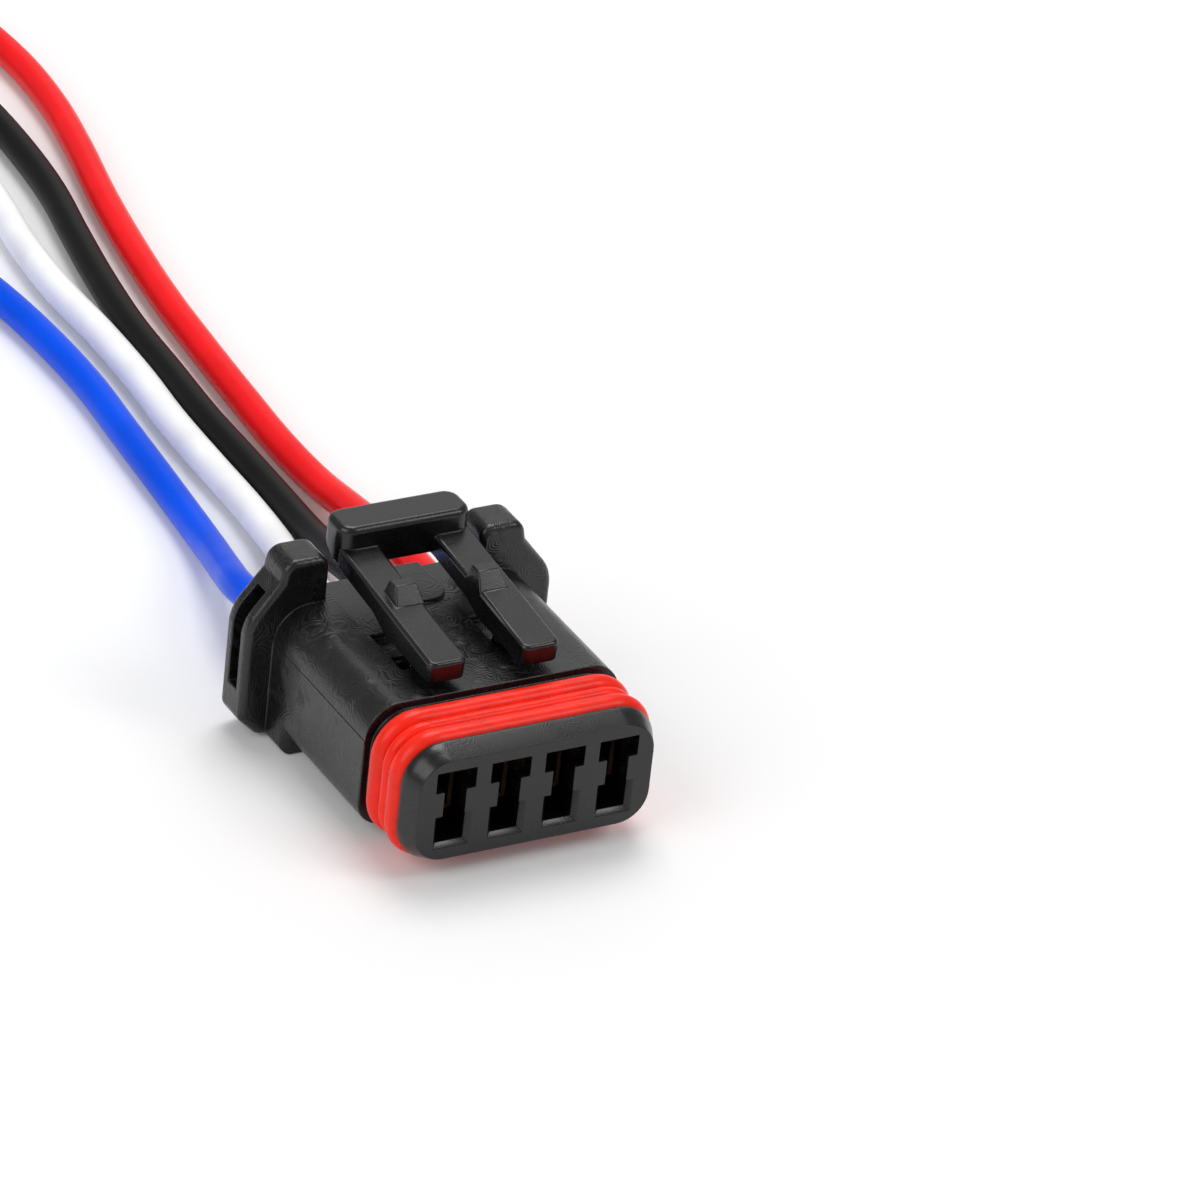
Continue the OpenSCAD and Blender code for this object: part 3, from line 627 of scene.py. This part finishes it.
@dataclass
class EdgeRounding:
    """Chooses how far each sharp edge of a mesh can be rounded.

    Attributes:
        mesh: Mesh to round, whose long edges may be cut.
        widest: Width of a rounding that has room.
        least: Width up to which an edge stays sharp, unless it runs on into a wider one.
        sharp: Angle between two faces from which their edge is sharp.
        end: Length that is cut off each end of a long edge.
        run_on: Least angle between two edges that run on into each other.
        straight: Turn under which two edges count as one line, so that their widths may differ.
        slew: How fast the width may change along a bend, as a share of turn times length.
        half: Share of a face that an edge may take where a sharp edge lies across it.
        whole: Share of a face that an edge may take where a plain edge lies across it.
        edges: Width of each sharp edge, as far as it is known.
    """

    mesh: bmesh.types.BMesh
    widest: float
    least: float
    sharp: float
    end: float = 0.3 * MM
    run_on: float = math.radians(138.6)
    straight: float = math.radians(2.0)
    slew: float = 0.35
    half: float = 0.45
    whole: float = 0.9
    edges: dict[bmesh.types.BMEdge, float] = field(default_factory=dict)

    def widths(self) -> dict[bmesh.types.BMEdge, float]:
        """Works out the rounding of every sharp edge, narrower only near what leaves no room.

        Returns:
            The width of each edge's rounding, in metres.
        """
        sharp = [
            edge
            for edge in self.mesh.edges
            if len(edge.link_faces) == 2 and edge.calc_face_angle(0.0) > self.sharp
        ]
        self.edges = dict.fromkeys(sharp, self.widest)
        for edge in sharp:
            if edge.calc_length() > 3 * self.end and self._room(edge) < self.widest:
                self._cut(edge)
        for edge in self.edges:
            self.edges[edge] = self._room(edge)
        joints = self._joints()
        changed = True
        while changed:
            changed = any([self._ease(*joint) for joint in joints])
        wide = {edge for edge, width in self.edges.items() if width > self.least}
        for first, second, _ in joints:
            if self.edges[first] > self.least or self.edges[second] > self.least:
                wide.update((first, second))
        return {edge: width for edge, width in self.edges.items() if edge in wide}

    def _cut(self, edge: bmesh.types.BMEdge) -> None:
        """Cuts off both ends of a long edge.

        Args:
            edge: Edge to cut, which keeps its middle part.
        """
        for vert in tuple(edge.verts):
            piece, _ = bmesh.utils.edge_split(edge, vert, self.end / edge.calc_length())
            self.edges[piece] = self.widest

    def _joints(self) -> list[tuple[bmesh.types.BMEdge, bmesh.types.BMEdge, float]]:
        """Finds the pairs of sharp edges that run on into each other.

        Returns:
            Both edges of each pair, and how far their widths may differ.
        """
        joints = []
        for edge in self.edges:
            for vert in edge.verts:
                other = self._next(edge, vert)
                if other is None:
                    continue
                turn = math.pi - self._spread(edge, other, vert)
                shorter = min(edge.calc_length(), other.calc_length())
                step = math.inf if turn < self.straight else self.slew * turn * shorter
                joints.append((edge, other, step))
        return joints

    def _ease(self, first: bmesh.types.BMEdge, second: bmesh.types.BMEdge, step: float) -> bool:
        """Narrows the first edge's rounding where it is too wide for the second's.

        Args:
            first: Edge that may change.
            second: Edge that runs on from it.
            step: How far their widths may differ.

        Returns:
            Whether the first edge changed.
        """
        most = self.edges[second] + step
        if self.edges[first] <= most:
            return False
        self.edges[first] = most
        return True

    @staticmethod
    def _spread(edge: bmesh.types.BMEdge, other: bmesh.types.BMEdge, vert: bmesh.types.BMVert) -> float:
        """Measures the angle between two edges at a vertex.

        Args:
            edge: First edge.
            other: Second edge.
            vert: Vertex that they share.

        Returns:
            The angle in radians, which is pi where they run straight on.
        """
        return (edge.other_vert(vert).co - vert.co).angle(other.other_vert(vert).co - vert.co)

    def _next(self, edge: bmesh.types.BMEdge, vert: bmesh.types.BMVert) -> Optional[bmesh.types.BMEdge]:
        """Finds the edge that runs on from another one.

        Args:
            edge: Edge to start from.
            vert: End of that edge.

        Returns:
            The only other sharp edge there, unless it turns off at a corner, or None.
        """
        others = [e for e in vert.link_edges if e in self.edges and e is not edge]
        if len(others) != 1 or self._spread(edge, others[0], vert) < self.run_on:
            return None
        return others[0]

    def _room(self, edge: bmesh.types.BMEdge) -> float:
        """Measures the room that both faces of an edge leave for its rounding.

        Args:
            edge: Edge to round.

        Returns:
            The width that fits, in metres.
        """
        room = self.widest
        for loop in edge.link_loops:
            along = (loop.link_loop_next.vert.co - loop.vert.co).normalized()
            inwards = loop.face.normal.cross(along)
            for other in loop.face.edges:
                if other is edge:
                    continue
                share = self.half if other in self.edges else self.whole
                corner = next((v for v in other.verts if v in edge.verts), None)
                if corner is None:
                    room = min(room, share * self._across(edge, other, along, inwards))
                elif self._next(edge, corner) is not other:
                    room = min(room, share * other.calc_length())
        return room

    @staticmethod
    def _across(
        edge: bmesh.types.BMEdge, other: bmesh.types.BMEdge, along: Vector, inwards: Vector
    ) -> float:
        """Measures the least distance from an edge to another one that lies across its face.

        Args:
            edge: Edge to start from.
            other: Edge of the same face.
            along: Direction of the first edge.
            inwards: Direction into the face.

        Returns:
            The distance in metres, or infinity where the other edge lies elsewhere.
        """
        low, high = sorted(v.co.dot(along) for v in edge.verts)
        base = edge.verts[0].co.dot(inwards)
        (x0, y0), (x1, y1) = sorted((v.co.dot(along), v.co.dot(inwards)) for v in other.verts)
        from_x, to_x = max(low, x0), min(high, x1)
        if from_x > to_x:
            return math.inf
        slope = (y1 - y0) / (x1 - x0) if x1 - x0 > TINY else 0.0
        nearest = min(y0 + slope * (x - x0) - base for x in (from_x, to_x))
        return nearest if nearest > TINY else math.inf


@dataclass
class Moulding:
    """A moulded piece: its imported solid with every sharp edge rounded.

    Attributes:
        node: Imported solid.
        body: Body that the piece rides.
        finish: Finish of the piece.
        edge: Width of a full rounding.
        least: Width up to which an edge stays sharp.
        segments: Facets across a rounding.
        sharp: Angle between two faces from which their edge is sharp.
        weld: Distance up to which corners are joined.
        flat: Angle up to which facets lie in one face.
        face_weight: How strongly the large faces hold the shading flat.
    """

    node: str
    body: Body
    finish: MouldedPlastic
    edge: float = 0.11 * MM
    least: float = 0.015 * MM
    segments: int = 3
    sharp: float = math.radians(28.0)
    weld: float = 0.004 * MM
    flat: float = math.radians(0.4)
    face_weight: int = 90

    def build(self) -> bpy.types.Object:
        """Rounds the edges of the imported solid.

        Returns:
            The rounded piece.
        """
        piece = new_object(f"{self.node}_rounded", self._weighted())
        rounding = piece.modifiers.new("rounding", "BEVEL")
        rounding.limit_method = "WEIGHT"
        rounding.width = self.edge
        rounding.segments = self.segments
        rounding.use_clamp_overlap = False
        rounding.loop_slide = False
        shading = piece.modifiers.new("flat_normals", "WEIGHTED_NORMAL")
        shading.weight = self.face_weight
        shading.keep_sharp = False
        return piece

    def _weighted(self) -> bpy.types.Mesh:
        """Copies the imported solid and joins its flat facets.

        Returns:
            The mesh, with the share of a full rounding as each edge's weight.
        """
        bm = bmesh.new()
        bm.from_mesh(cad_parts[self.node].data)
        bmesh.ops.remove_doubles(bm, verts=bm.verts, dist=self.weld)
        bmesh.ops.dissolve_degenerate(bm, dist=self.weld, edges=bm.edges)
        bmesh.ops.dissolve_limit(bm, angle_limit=self.flat, verts=bm.verts, edges=bm.edges)
        bmesh.ops.dissolve_degenerate(bm, dist=self.weld, edges=bm.edges)
        bmesh.ops.recalc_face_normals(bm, faces=bm.faces)
        widths = EdgeRounding(bm, self.edge, self.least, self.sharp).widths()
        bm.edges.index_update()
        shares = {edge.index: width / self.edge for edge, width in widths.items()}
        mesh = bpy.data.meshes.new(f"{self.node}_rounded")
        bm.to_mesh(mesh)
        bm.free()
        weights = mesh.attributes.new("bevel_weight_edge", "FLOAT", "EDGE")
        for index, share in shares.items():
            weights.data[index].value = share
        smooth(mesh)
        return mesh

    def dress(self) -> bpy.types.Object:
        """Builds the piece, gives it its finish and puts it on its body.

        Returns:
            The finished piece.
        """
        piece = self.build()
        piece.data.materials.append(self.finish.material())
        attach(piece, self.body.value)
        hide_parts(self.node)
        return piece


@dataclass
class PackedPiece:
    """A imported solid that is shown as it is, with a better finish.

    Attributes:
        node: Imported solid.
        finish: Finish of the piece.
    """

    node: str
    finish: Union[Silicone, Metal]

    def dress(self) -> bpy.types.Object:
        """Gives the solid its finish.

        Returns:
            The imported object.
        """
        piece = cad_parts[self.node]
        piece.data.materials.clear()
        piece.data.materials.append(self.finish.material())
        return piece


@dataclass
class BareStrands:
    """Twisted copper strands: one stub in the crimp and one beyond the insulation.

    Attributes:
        way: Way that the strands belong to.
        tip: End of the insulation.
        ahead: Direction of the stub beyond it.
        crimp: Front end of the stub in the crimp.
        crimp_length: Length of that stub.
        length: Length of the stub beyond the insulation.
        strand_r: Radius of a strand.
        layers: Strands in each layer, from the middle outwards.
        layer_turn: Turn of each layer against the one inside it, in radians.
        lay_length: Length over which the strands turn once.
        sides: Facets around a strand.
        rings: Rings of points along a strand.
    """

    way: Way
    tip: Vector
    ahead: Vector
    crimp: Vector
    crimp_length: float
    length: float = 6.0 * MM
    strand_r: float = 0.118 * MM
    layers: tuple[int, ...] = (1, 6, 12)
    layer_turn: float = 0.26
    lay_length: float = 16.0 * MM
    sides: int = 8
    rings: int = 22

    def build(self) -> bpy.types.Object:
        """Sweeps every strand of both stubs.

        Returns:
            The strands of this lead.
        """
        verts: list[Vector] = []
        faces: list[list[int]] = []
        stubs = (
            (self.tip, self.ahead, self.length),
            (self.crimp, Vector((0, 1, 0)), self.crimp_length),
        )
        for start, along, length in stubs:
            self._bundle(verts, faces, start, along.normalized(), length)
        return mesh_object(f"bare_strands_{self.way.value}", verts, faces)

    def _bundle(
        self, verts: list[Vector], faces: list[list[int]], start: Vector, along: Vector, length: float
    ) -> None:
        """Adds one bundle of strands.

        Args:
            verts: Points, which are added to.
            faces: Faces, which are added to.
            start: Middle of the bundle's first end.
            along: Direction of the bundle, of length 1.
            length: Length of the bundle.
        """
        side = along.orthogonal().normalized()
        over = along.cross(side)
        for layer, count in enumerate(self.layers):
            spread = 2.0 * self.strand_r * layer
            for strand in range(count):
                first = 2.0 * math.pi * strand / count + self.layer_turn * layer
                middles = []
                for ring in range(self.rings):
                    part = ring / (self.rings - 1)
                    angle = first + 2.0 * math.pi * part * length / self.lay_length
                    across = side * math.cos(angle) + over * math.sin(angle)
                    middles.append(start + along * (part * length) + across * spread)
                self._tube(verts, faces, middles, side, over)

    def _tube(
        self,
        verts: list[Vector],
        faces: list[list[int]],
        middles: Sequence[Vector],
        side: Vector,
        over: Vector,
    ) -> None:
        """Adds one closed round strand.

        Args:
            verts: Points, which are added to.
            faces: Faces, which are added to.
            middles: Middles of the strand's rings.
            side: First direction across the bundle.
            over: Second direction across the bundle.
        """
        base = len(verts)
        for middle in middles:
            for corner in range(self.sides):
                angle = 2.0 * math.pi * corner / self.sides
                verts.append(middle + (side * math.cos(angle) + over * math.sin(angle)) * self.strand_r)
        for ring in range(len(middles) - 1):
            for corner in range(self.sides):
                a = base + ring * self.sides + corner
                b = base + ring * self.sides + (corner + 1) % self.sides
                faces.append([a, b, b + self.sides, a + self.sides])
        faces.append([base + corner for corner in reversed(range(self.sides))])
        last = base + (len(middles) - 1) * self.sides
        faces.append([last + corner for corner in range(self.sides)])

    def dress(self) -> bpy.types.Object:
        """Builds the strands, gives them their finish and puts them on the plug.

        Returns:
            The finished piece.
        """
        piece = self.build()
        piece.data.materials.append(BARE_COPPER.material())
        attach(piece, Body.PLUG.value)
        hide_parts(f"strands_{self.way.value}")
        return piece


@dataclass
class Lead:
    """One insulated lead along its route, with its bare ends.

    Attributes:
        way: Way that the lead belongs to.
        row_x: Place of the way across the plug, in millimetres.
        route: Points behind the plug, in millimetres.
        start_y: Front end of the insulation, in millimetres.
        rear_y: Rear face of the plug, in millimetres.
        axis_z: Height of the ways, in millimetres.
        crimp_y: Front end of the strands, in millimetres.
        diameter: Diameter of the insulation.
        facets: Facets in a quarter of the insulation's round.
        steps: Spans of the insulation between two points of the route.
    """

    way: Way
    row_x: float
    route: Sequence[tuple[float, float, float]]
    start_y: float = 0.5
    rear_y: float = 10.95
    axis_z: float = 5.35
    crimp_y: float = -3.4
    diameter: float = 2.3 * MM
    facets: int = 8
    steps: int = 10

    def inside(self, y: float) -> Vector:
        """Point on the way's axis, in metres, at a place along the plug in millimetres."""
        return Vector((self.row_x, y, self.axis_z)) * MM

    def points(self) -> list[Vector]:
        """Route points from the crimp to the tip, in metres."""
        return [self.inside(self.start_y), self.inside(self.rear_y), *(Vector(p) * MM for p in self.route)]

    def build(self) -> bpy.types.Object:
        """Makes the insulation as one smooth curve through the route.

        At each point the curve runs along the line from the point before it to the one after it.

        Returns:
            The curve object.
        """
        points = self.points()
        curve = bpy.data.curves.new(f"insulation_{self.way.value}", "CURVE")
        curve.dimensions = "3D"
        curve.bevel_depth = self.diameter / 2
        curve.bevel_resolution = self.facets
        curve.resolution_u = self.steps
        curve.use_fill_caps = True
        spline = curve.splines.new("BEZIER")
        spline.bezier_points.add(len(points) - 1)
        for i, (knot, point) in enumerate(zip(spline.bezier_points, points)):
            before = points[max(0, i - 1)]
            after = points[min(len(points) - 1, i + 1)]
            reach = (after - before) / 6
            knot.co = point
            knot.handle_left_type = knot.handle_right_type = "FREE"
            knot.handle_left = point - reach
            knot.handle_right = point + reach
        return new_object(f"insulation_{self.way.value}", curve)

    def length(self, chords: int = 24) -> float:
        """Measures the same curve.

        Args:
            chords: Chords in each span.

        Returns:
            The length in metres.
        """
        points = self.points()
        total = 0.0
        for i in range(len(points) - 1):
            a, b, c, d = (points[max(0, min(len(points) - 1, j))] for j in (i - 1, i, i + 1, i + 2))
            last = b
            for chord in range(1, chords + 1):
                f = chord / chords
                here = b + f * ((c - a) + f * ((2 * a - 5 * b + 4 * c - d) + f * (3 * (b - c) + d - a))) / 2
                total += (here - last).length
                last = here
        return total

    def dress(self) -> list[bpy.types.Object]:
        """Returns:
            The insulation and the strands.
        """
        piece = self.build()
        piece.data.materials.append(INSULATION[self.way].material())
        points = self.points()
        strands = BareStrands(
            self.way,
            tip=points[-1],
            ahead=points[-1] - points[-2],
            crimp=self.inside(self.crimp_y),
            crimp_length=(self.start_y - self.crimp_y) * MM,
        ).dress()
        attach(piece, Body.PLUG.value)
        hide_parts(f"lead_{self.way.value}")
        round(self.length(), 4)
        return [piece, strands]


LEADS: tuple[Lead, ...] = (
    Lead(Way.BLUE, -6.0, (
        (-6, 15, 5.2), (-5.8, 20, 4.3), (-4.8, 24, 3.2), (-3.3, 29.5, 1.8), (-2.4, 35, 1.2), (-1.9, 41, 1.2),
        (-1.4, 47.5, 1.2), (-0.9, 54, 1.2), (-0.9, 61, 1.2), (-1.4, 68, 1.2), (-2.5, 75, 1.2), (-4, 82, 1.2),
        (-6, 89, 1.2), (-8.4, 96, 1.2), (-11, 102.5, 1.2), (-13.5, 109, 1.2),
    )),
    Lead(Way.WHITE, -2.0, (
        (-1.9, 15, 5.2), (-1.2, 19, 4.4), (-0.2, 23.5, 3.2), (1.4, 29, 1.8), (2.2, 35, 1.2), (2.3, 41, 1.2),
        (2.5, 47.5, 1.2), (3, 54, 1.2), (3.2, 61, 1.2), (3.1, 68, 1.2), (3.6, 75, 1.2), (4.6, 82, 1.2),
        (5.2, 89.5, 1.2), (5.4, 97, 1.2), (5.2, 104.5, 1.2), (4.6, 112, 1.2),
    )),
    Lead(Way.BLACK, 2.0, (
        (2.1, 15, 5.2), (2.6, 19, 4.4), (3.3, 23.5, 3.2), (4.2, 29, 1.8), (4.8, 35, 1.2), (4.9, 41, 1.2),
        (5, 47.5, 1.2), (5.4, 54, 1.2), (5.8, 61, 1.2), (6.7, 68, 1.2), (7.9, 75, 1.2), (9.2, 82, 1.2),
        (9.9, 89, 1.2), (10.1, 96, 1.2), (9.9, 104, 1.2), (9.4, 112, 1.2),
    )),
    Lead(Way.RED, 6.0, (
        (6.1, 15, 5.3), (6.6, 19, 4.8), (7.3, 24, 3.8), (8, 30, 2.4), (8.3, 36, 1.4), (8.4, 42, 1.2),
        (8.8, 49, 1.2), (9.3, 56, 1.2), (10, 64, 1.2), (11.1, 72, 1.2), (12.5, 80, 1.2), (14.2, 88, 1.2),
        (15.4, 95, 1.2), (15.9, 102, 1.2), (15.5, 109, 1.2), (14.7, 115, 1.2),
    )),
)


# Stage


@dataclass
class Camera:
    """Long lens that looks down at the plug's left front.

    Attributes:
        target: Middle of the retainer's face, in metres.
        azimuth: Turn from straight in front towards +X, in degrees.
        elevation: Height over the floor, in degrees.
        roll: Turn about the line of sight, in degrees.
        offset: Place of the target to the right of the picture's middle, below it and away from the lens,
            in millimetres.
        focal_px: Focal length, in pixels of the picture.
        picture_px: Width of the picture, in pixels.
        sensor: Width of the sensor, in millimetres.
    """

    target: Vector = field(default_factory=lambda: Vector((0.0, -11.45, 5.35)) * MM)
    azimuth: float = -31.865
    elevation: float = 30.0
    roll: float = 6.593
    offset: tuple[float, float, float] = (-4.19, 12.545, 500.0)
    focal_px: float = 7682.0
    picture_px: float = 1200.0
    sensor: float = 36.0

    def build(self) -> bpy.types.Object:
        """Makes the camera and gives it to the scene.

        Returns:
            The camera.
        """
        a, e, r = (math.radians(v) for v in (self.azimuth, self.elevation, self.roll))
        back = Vector((math.sin(a) * math.cos(e), -math.cos(a) * math.cos(e), math.sin(e)))
        right = (-back).cross(Vector((0, 0, 1))).normalized()
        up = right.cross(-back)
        right, up = right * math.cos(r) + up * math.sin(r), up * math.cos(r) - right * math.sin(r)
        across, down, away = (v * MM for v in self.offset)
        data = bpy.data.cameras.new("camera")
        data.sensor_width = self.sensor
        data.lens = self.focal_px / self.picture_px * self.sensor
        data.clip_start = 0.01
        data.clip_end = 20.0
        made = new_object("camera", data)
        place = self.target - right * across + up * down + back * away
        turn = Matrix((right, up, back)).transposed()
        made.matrix_world = Matrix.Translation(place) @ turn.to_4x4()
        bpy.context.scene.camera = made
        return made


@dataclass
class Softbox:
    """A large square lamp aimed at the plug.

    Attributes:
        name: Name of the lamp.
        place: Middle of the lamp, in metres.
        size: Length of its sides, in metres.
        power: Power in watts.
        aim: Point that it faces, in metres.
    """

    name: str
    place: tuple[float, float, float]
    size: float
    power: float
    aim: tuple[float, float, float] = (0.0, 0.01, 0.005)

    def build(self) -> bpy.types.Object:
        """Makes the lamp.

        Returns:
            The lamp.
        """
        data = bpy.data.lights.new(self.name, "AREA")
        data.shape = "SQUARE"
        data.size = self.size
        data.energy = self.power
        made = new_object(self.name, data)
        made.location = self.place
        made.rotation_mode = "QUATERNION"
        made.rotation_quaternion = (Vector(self.aim) - Vector(self.place)).to_track_quat("-Z", "Y")
        return made


@dataclass
class Studio:
    """Pale floor, soft room light and four softboxes.

    Attributes:
        room: Strength of the room's even light.
        half: Half the floor's width, in metres.
        drop: How far the floor lies below the plug's foot.
        lamps: Softboxes.
    """

    room: float = 0.4
    half: float = 3.0
    drop: float = 0.03 * MM
    lamps: tuple[Softbox, ...] = (
        Softbox("key_softbox", (0.10, 0.18, 0.54), size=0.3, power=1.55),
        Softbox("back_softbox", (0.30, 0.50, 0.33), size=0.42, power=0.29),
        Softbox("front_softbox", (0.36, -0.32, 0.48), size=0.22, power=0.8),
        Softbox("fill_softbox", (-0.46, -0.10, 0.34), size=0.4, power=1.1),
    )

    def build(self) -> None:
        """Makes the floor, the lamps and the room's light, and sets the view transform."""
        h = self.half
        corners = [Vector((x, y, -self.drop)) for x, y in ((-h, -h), (h, -h), (h, h), (-h, h))]
        floor = mesh_object("floor", corners, [[0, 1, 2, 3]])
        floor.data.materials.append(Paper().material())
        for lamp in self.lamps:
            lamp.build()
        self._room()
        bpy.context.scene.view_settings.view_transform = "Standard"

    def _room(self) -> None:
        """Gives the world a plain, even light."""
        world = bpy.data.worlds.new("room")
        g = Graph(world)
        light = g.node("ShaderNodeBackground", None, {"Color": (1.0, 1.0, 1.0, 1.0), "Strength": self.room})
        g.node("ShaderNodeOutputWorld", None, {"Surface": light})
        bpy.context.scene.world = world


def report(*pieces: bpy.types.Object) -> None:
    """Logs the name of each piece.

    Args:
        pieces: Finished pieces.
    """
    for piece in pieces:
        LOG.info("%s", piece.name)


def main() -> None:
    """Builds the camera, the leads, the mouldings, the inner pieces and the stage."""
    logging.basicConfig(level=logging.INFO, format="%(name)s: %(message)s")
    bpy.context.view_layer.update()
    Camera().build()
    for lead in LEADS:
        report(*lead.dress())
    mouldings = (
        Moulding("housing", Body.PLUG, MOULDING),
        Moulding("latch_lever", Body.LATCH, SMOOTH_MOULDING),
        Moulding("front_retainer", Body.RETAINER, SMOOTH_MOULDING, edge=0.05 * MM),
    )
    for moulding in mouldings:
        report(moulding.dress())
    report(PackedPiece("ring_seal", RED_SILICONE).dress())
    for way in Way:
        report(PackedPiece(f"terminal_{way.value}", SHADE_PAINTED_BRASS).dress())
        report(PackedPiece(f"wire_seal_{way.value}", BROWN_SILICONE).dress())
    Studio().build()


if __name__ == "__main__":
    main()
